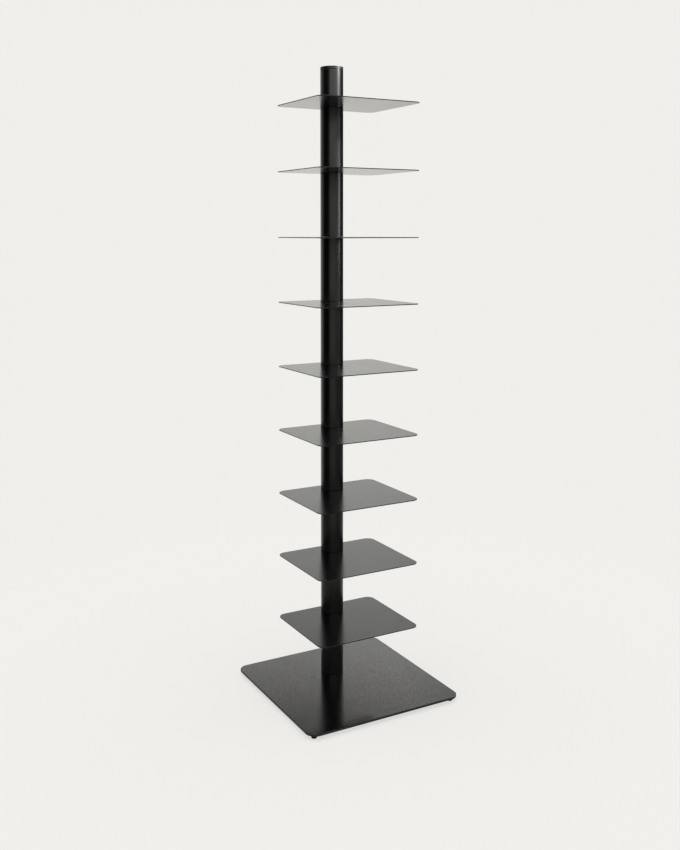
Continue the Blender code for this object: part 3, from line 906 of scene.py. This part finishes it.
class BOOKCASE_OT_foot_screws(bpy.types.Operator):
    """Model one foot screw with its thread and hexagon socket and copy it to the other corners"""

    bl_idname = "bookcase.foot_screws"
    bl_label = "Foot screws"

    def execute(self, context):
        sizes, finish = sizes_and_finish(context)
        low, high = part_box("foot_screw_1")
        axis = foot_axis(1)
        shank_bottom = low.z + sizes.screw_head_height
        crest, root = sizes.screw_radius, sizes.screw_radius - sizes.thread_depth
        profile = [
            (0, high.z),
            (root - BROKEN_EDGE, high.z),
            (root, high.z - BROKEN_EDGE),
            (root, shank_bottom),
            (sizes.screw_head - BROKEN_EDGE, shank_bottom),
            (sizes.screw_head, shank_bottom - BROKEN_EDGE),
            (sizes.screw_head, low.z + BROKEN_EDGE),
            (sizes.screw_head - BROKEN_EDGE, low.z),
            (0, low.z),
        ]
        first = turned("levelling_screw_1", axis, profile, sizes.small_sides)
        socket_top = low.z + sizes.screw_socket_depth
        carve(first, hexagon("key_socket", axis, sizes.screw_socket, low.z - OVERRUN, socket_top))
        ridge_start = shank_bottom + sizes.thread_pitch * RIDGE_START
        turns = int((high.z - ridge_start) / sizes.thread_pitch) - 1
        carve(first, self.ridge(axis, root, crest, ridge_start, turns, sizes), "UNION")
        plated = MaterialStore.get("zinc_plating", zinc, finish)
        for number, screw in at_feet(first, "levelling_screw"):
            finished(screw, plated, "zinc_plated_steel", f"foot_screw_{number}", f"foot_screw_{number}")
        return {"FINISHED"}

    def ridge(self, axis, root, crest, start, turns, sizes):
        """The helical ridge of the thread: a small triangle wound up the shank and closed at both ends."""
        deselect()
        bpy.ops.mesh.primitive_circle_add(vertices=3, radius=sizes.thread_depth, fill_type="NOTHING")
        piece = added("thread_ridge")
        width = sizes.thread_pitch * RIDGE_WIDTH
        inner = root - sizes.thread_depth * RIDGE_ROOT
        corners = ((inner, 0.0), (crest, width / 2), (inner, width))
        for point, (radius, rise) in zip(piece.data.vertices, corners):
            point.co = (radius, 0, rise)
        winding = piece.modifiers.new("winding", "SCREW")
        winding.axis = "Z"
        winding.angle = 2 * math.pi
        winding.screw_offset = sizes.thread_pitch
        winding.iterations = turns
        winding.steps = winding.render_steps = RIDGE_STEPS
        winding.use_merge_vertices = False
        take(piece)
        bpy.ops.object.modifier_apply(modifier=winding.name)
        mode("EDIT")
        bpy.ops.mesh.select_mode(type="EDGE")
        bpy.ops.mesh.select_all(action="DESELECT")
        bpy.ops.mesh.select_non_manifold()
        bpy.ops.mesh.edge_face_add()
        bpy.ops.mesh.select_all(action="SELECT")
        bpy.ops.mesh.normals_make_consistent(inside=False)
        mode("OBJECT")
        bpy.ops.transform.translate(value=(axis.x, axis.y, start))
        apply_place()
        return piece


class BOOKCASE_OT_foot_nuts(bpy.types.Operator):
    """Model one weld nut and copy it to the other corners"""

    bl_idname = "bookcase.foot_nuts"
    bl_label = "Weld nuts"

    def execute(self, context):
        sizes, finish = sizes_and_finish(context)
        low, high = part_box("foot_nut_1")
        first = nut("weld_nut_1", low, high, sizes.pad_hole, sizes.weld_nut_chamfer, sizes.small_sides)
        plated = MaterialStore.get("zinc_plating", zinc, finish)
        for number, piece in at_feet(first, "weld_nut"):
            finished(piece, plated, "zinc_plated_steel", "bookcase", f"foot_nut_{number}")
        return {"FINISHED"}


class BOOKCASE_OT_base_fasteners(bpy.types.Operator):
    """Model the thin nut and the washer under the base"""

    bl_idname = "bookcase.base_fasteners"
    bl_label = "Base nut and washer"

    def execute(self, context):
        sizes, finish = sizes_and_finish(context)
        plated = MaterialStore.get("zinc_plating", zinc, finish)
        low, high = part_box("base_nut")
        thin_nut = nut("clamp_nut", low, high, sizes.rod_hole, sizes.nut_chamfer, sizes.small_sides)
        finished(thin_nut, plated, "zinc_plated_steel", "bookcase", "base_nut")
        low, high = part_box("base_washer")
        radius = (high.x - low.x) / 2
        profile = [(sizes.rod_hole, high.z), (sizes.rod_hole, low.z)]
        profile += fillet(radius, low.z, sizes.tube_rim, False)
        profile += fillet(radius, high.z, sizes.tube_rim, True)
        profile.append(profile[0])
        washer = turned("clamp_washer", column_axis(), profile, sizes.small_sides)
        finished(washer, plated, "zinc_plated_steel", "bookcase", "base_washer")
        return {"FINISHED"}


class BOOKCASE_OT_inner_pieces(bpy.types.Operator):
    """Finish the tie rod, its coupling, the top nut and washer and the locating pins inside the column"""

    bl_idname = "bookcase.inner_pieces"
    bl_label = "Inner pieces"

    def execute(self, context):
        finish = context.scene.bookcase_finish
        plated = MaterialStore.get("zinc_plating", zinc, finish)
        threaded = MaterialStore.get("threaded_rod", zinc, finish, rod_thread(ROD_PITCH, column_axis().y))
        ground = MaterialStore.get("ground_steel", ground_steel, finish)
        for node in ROD_NODES:
            refinish(node, threaded)
        for node in ("rod_coupling", "top_nut", "top_washer"):
            refinish(node, plated)
        for node in PIN_NODES:
            refinish(node, ground)
        return {"FINISHED"}


def paper_floor(stage):
    """Matt paper whose border fades into the backdrop, with a painted glow that lightens its shadow for the
    camera and painted shade that darkens it towards the camera in the object's reflections.
    """
    material, graph, where = new_material("studio_paper")
    paper = opaque(stage.paper)
    x, y, _ = graph.split(where)
    radius = (x * x + y * y).root()
    edge = graph.smooth(radius, stage.floor_radius - stage.floor_fade, stage.floor_radius)
    forward = (x * TO_CAMERA.x + y * TO_CAMERA.y) / radius.most(LEAST_DIVISOR)
    # Painted shade: for the object's own rays the floor darkens towards the camera, standing in for dark
    # surroundings; the camera still sees plain paper.
    painted_front_shade = graph.blend(graph.smooth(forward, *PAINTED_SHADE_RANGE), paper, opaque(stage.paper, stage.floor_front_shade))
    seen = Wire(graph, graph.node("ShaderNodeLightPath").outputs["Is Camera Ray"])
    matt = graph.node("ShaderNodeBsdfDiffuse", inputs={"Color": graph.blend(seen, painted_front_shade, paper)})
    # Painted light: the floor glows in the paper's colour for the camera, which lightens the object's shadow
    # on it.
    painted_glow = graph.node("ShaderNodeEmission", inputs={"Color": paper})
    lit = graph.mixed(seen * stage.shadow_fill, matt, painted_glow)
    graph.finish(graph.mixed(edge, lit, graph.node("ShaderNodeBsdfTransparent")))
    return material


def light_tent(world, stage):
    """Cloth all round in the backdrop's colour, brighter overhead, with dark gaps on either side."""
    world.use_nodes = True
    graph = Graph(world.node_tree)
    x, y, z = graph.split(graph.node("ShaderNodeTexCoord").outputs["Generated"])
    level = (x * x + y * y).root().most(LEAST_DIVISOR)
    aside = x * RIGHT.x + y * RIGHT.y

    def facing(turn, half_width, border):
        """1 within half the width of a turn from the camera's heading, and 0 beyond the soft border."""
        heading = CAMERA_HEADING + math.radians(turn)
        cosine = (x * math.cos(heading) + y * math.sin(heading)) / level
        outer, inner = math.radians(half_width + border), math.radians(half_width)
        return graph.smooth(cosine, math.cos(outer), math.cos(inner))

    def above(low, high):
        """Rises from 0 at the low elevation to 1 at the high one."""
        return graph.smooth(z, math.sin(math.radians(low)), math.sin(math.radians(high)))

    under_brow = 1 - above(*GAP_TOP)
    left_gap = facing(*LEFT_GAP) * under_brow
    left_dusk = facing(*LEFT_DUSK) * under_brow
    right_foot = 1 - RIGHT_GAP_LIFT * (1 - above(*RIGHT_GAP_FOOT))
    right_gap = facing(*RIGHT_GAP) * under_brow * right_foot
    right_dusk = facing(*RIGHT_DUSK) * (1 - above(*RIGHT_DUSK_TOP)) * above(*RIGHT_DUSK_FOOT)
    behind = facing(*BEHIND)
    tent = (1 - LEFT_DUSK_DEPTH * left_dusk) * (1 - LEFT_GAP_DEPTH * left_gap)
    tent = tent * (1 - right_gap) * (1 - RIGHT_DUSK_DEPTH * right_dusk)
    tent = tent * (1 - facing(*AHEAD) * (1 - above(*LOW_AHEAD_TOP)) * LOW_AHEAD_DEPTH)
    tent = tent * (1 - (1 - behind) * above(*UPPER_FOOT) * UPPER_DEPTH)
    rise = BACK_LIGHT - HORIZON_DIP * above(*HORIZON) + LOW_BACK_RISE * above(*LOW_BACK)
    rise = rise + stage.back_rise * above(*HIGH_BACK)
    slant = aside * (above(*SLANT_FLIP) - LOW_SLANT)
    brow = graph.smooth(z - BROW_SLOPE * aside.most(0), *BROW)
    tent = (tent + behind * rise) * (1 + behind * slant) * (1 - BROW_DEPTH * behind * brow)
    tent = tent + above(*OVERHEAD) * stage.overhead_level
    path = graph.node("ShaderNodeLightPath")
    paper = opaque(stage.paper)
    cloth = graph.blend(path.outputs["Is Glossy Ray"], (1, 1, 1, 1), paper)
    studio = graph.node("ShaderNodeBackground", inputs={"Color": cloth, "Strength": tent})
    seen = graph.node("ShaderNodeBackground", inputs={"Color": paper, "Strength": 1.0})
    graph.finish(graph.mixed(path.outputs["Is Camera Ray"], studio, seen), "ShaderNodeOutputWorld")


class BOOKCASE_OT_stage(bpy.types.Operator):
    """Set the pale floor, the light tent and the camera"""

    bl_idname = "bookcase.stage"
    bl_label = "Studio stage"

    def execute(self, context):
        scene, stage = context.scene, context.scene.bookcase_stage
        deselect()
        bpy.ops.mesh.primitive_circle_add(vertices=FLOOR_SIDES, radius=stage.floor_radius, fill_type="NGON")
        floor = added("studio_floor")
        floor.data.materials.append(paper_floor(stage))
        if scene.world is None:
            scene.world = bpy.data.worlds.new("studio")
        light_tent(scene.world, stage)
        column, plates = lit_pieces("column_pieces"), lit_pieces("plate_pieces")
        near, far = stage.strip_distance, stage.box_distance
        self.lamp("high_strip", column, HIGH_TURN, near, stage.high_width, stage.high_strip, stage.high_power)
        self.lamp("low_strip", column, LOW_TURN, near, stage.low_width, stage.low_strip, stage.low_power)
        self.lamp("front_box", column, FRONT_TURN, far, stage.front_width, stage.front_box, stage.front_power)
        self.lamp("fill_box", plates, FILL_TURN, far, stage.fill_width, stage.fill_box, stage.fill_power)
        bpy.ops.object.camera_add(
            location=stage.camera_place, rotation=(math.pi / 2 - stage.camera_tilt, 0, stage.camera_turn)
        )
        camera = context.active_object
        camera.name = "studio_camera"
        camera.data.lens = stage.lens
        camera.data.shift_y = stage.frame_rise
        scene.camera = camera
        scene.view_settings.view_transform = "Standard"
        return {"FINISHED"}

    def lamp(self, name, pieces, turn, distance, width, edges, power):
        """An upright soft box that faces the column from a turn off the camera's heading."""
        heading = CAMERA_HEADING + math.radians(turn)
        axis = column_axis()
        place = (axis.x + distance * math.cos(heading), axis.y + distance * math.sin(heading), sum(edges) / 2)
        upright = (math.pi / 2, 0, heading + math.pi / 2)
        bpy.ops.object.light_add(type="AREA", location=place, rotation=upright)
        box = bpy.context.active_object
        box.name = name
        box.data.shape = "RECTANGLE"
        box.data.size, box.data.size_y = width, edges[1] - edges[0]
        box.data.energy = power
        box.visible_diffuse = False
        box.light_linking.receiver_collection = pieces


class BOOKCASE_PT_panel(bpy.types.Panel):
    """The sidebar panel that lists the sizes, the finishes and the steps"""

    bl_idname = "BOOKCASE_PT_panel"
    bl_label = "Column bookcase"
    bl_space_type = "VIEW_3D"
    bl_region_type = "UI"
    bl_category = "Bookcase"

    def draw(self, context):
        layout = self.layout
        for group_name in GROUPS:
            group = getattr(context.scene, group_name)
            box = layout.box()
            for name in group.bl_rna.properties.keys():
                if name not in ("rna_type", "name"):
                    box.prop(group, name)
        for step in STEPS:
            layout.operator(step.bl_idname)


STEPS = (
    BOOKCASE_OT_stage,
    BOOKCASE_OT_base_plate,
    BOOKCASE_OT_shelves,
    BOOKCASE_OT_column,
    BOOKCASE_OT_end_cap,
    BOOKCASE_OT_foot_pads,
    BOOKCASE_OT_foot_screws,
    BOOKCASE_OT_foot_nuts,
    BOOKCASE_OT_base_fasteners,
    BOOKCASE_OT_inner_pieces,
)
GROUPS = {
    "bookcase_sizes": BookcaseSizes,
    "bookcase_finish": BookcaseFinish,
    "bookcase_stage": BookcaseStage,
}


def register():
    for kind in (*GROUPS.values(), *STEPS, BOOKCASE_PT_panel):
        bpy.utils.register_class(kind)
    for name, kind in GROUPS.items():
        setattr(bpy.types.Scene, name, PointerProperty(type=kind))


def unregister():
    for name in GROUPS:
        delattr(bpy.types.Scene, name)
    for kind in reversed((*GROUPS.values(), *STEPS, BOOKCASE_PT_panel)):
        bpy.utils.unregister_class(kind)


def main():
    register()
    for step in STEPS:
        family, action = step.bl_idname.split(".")
        getattr(getattr(bpy.ops, family), action)()


if __name__ == "__main__":
    main()
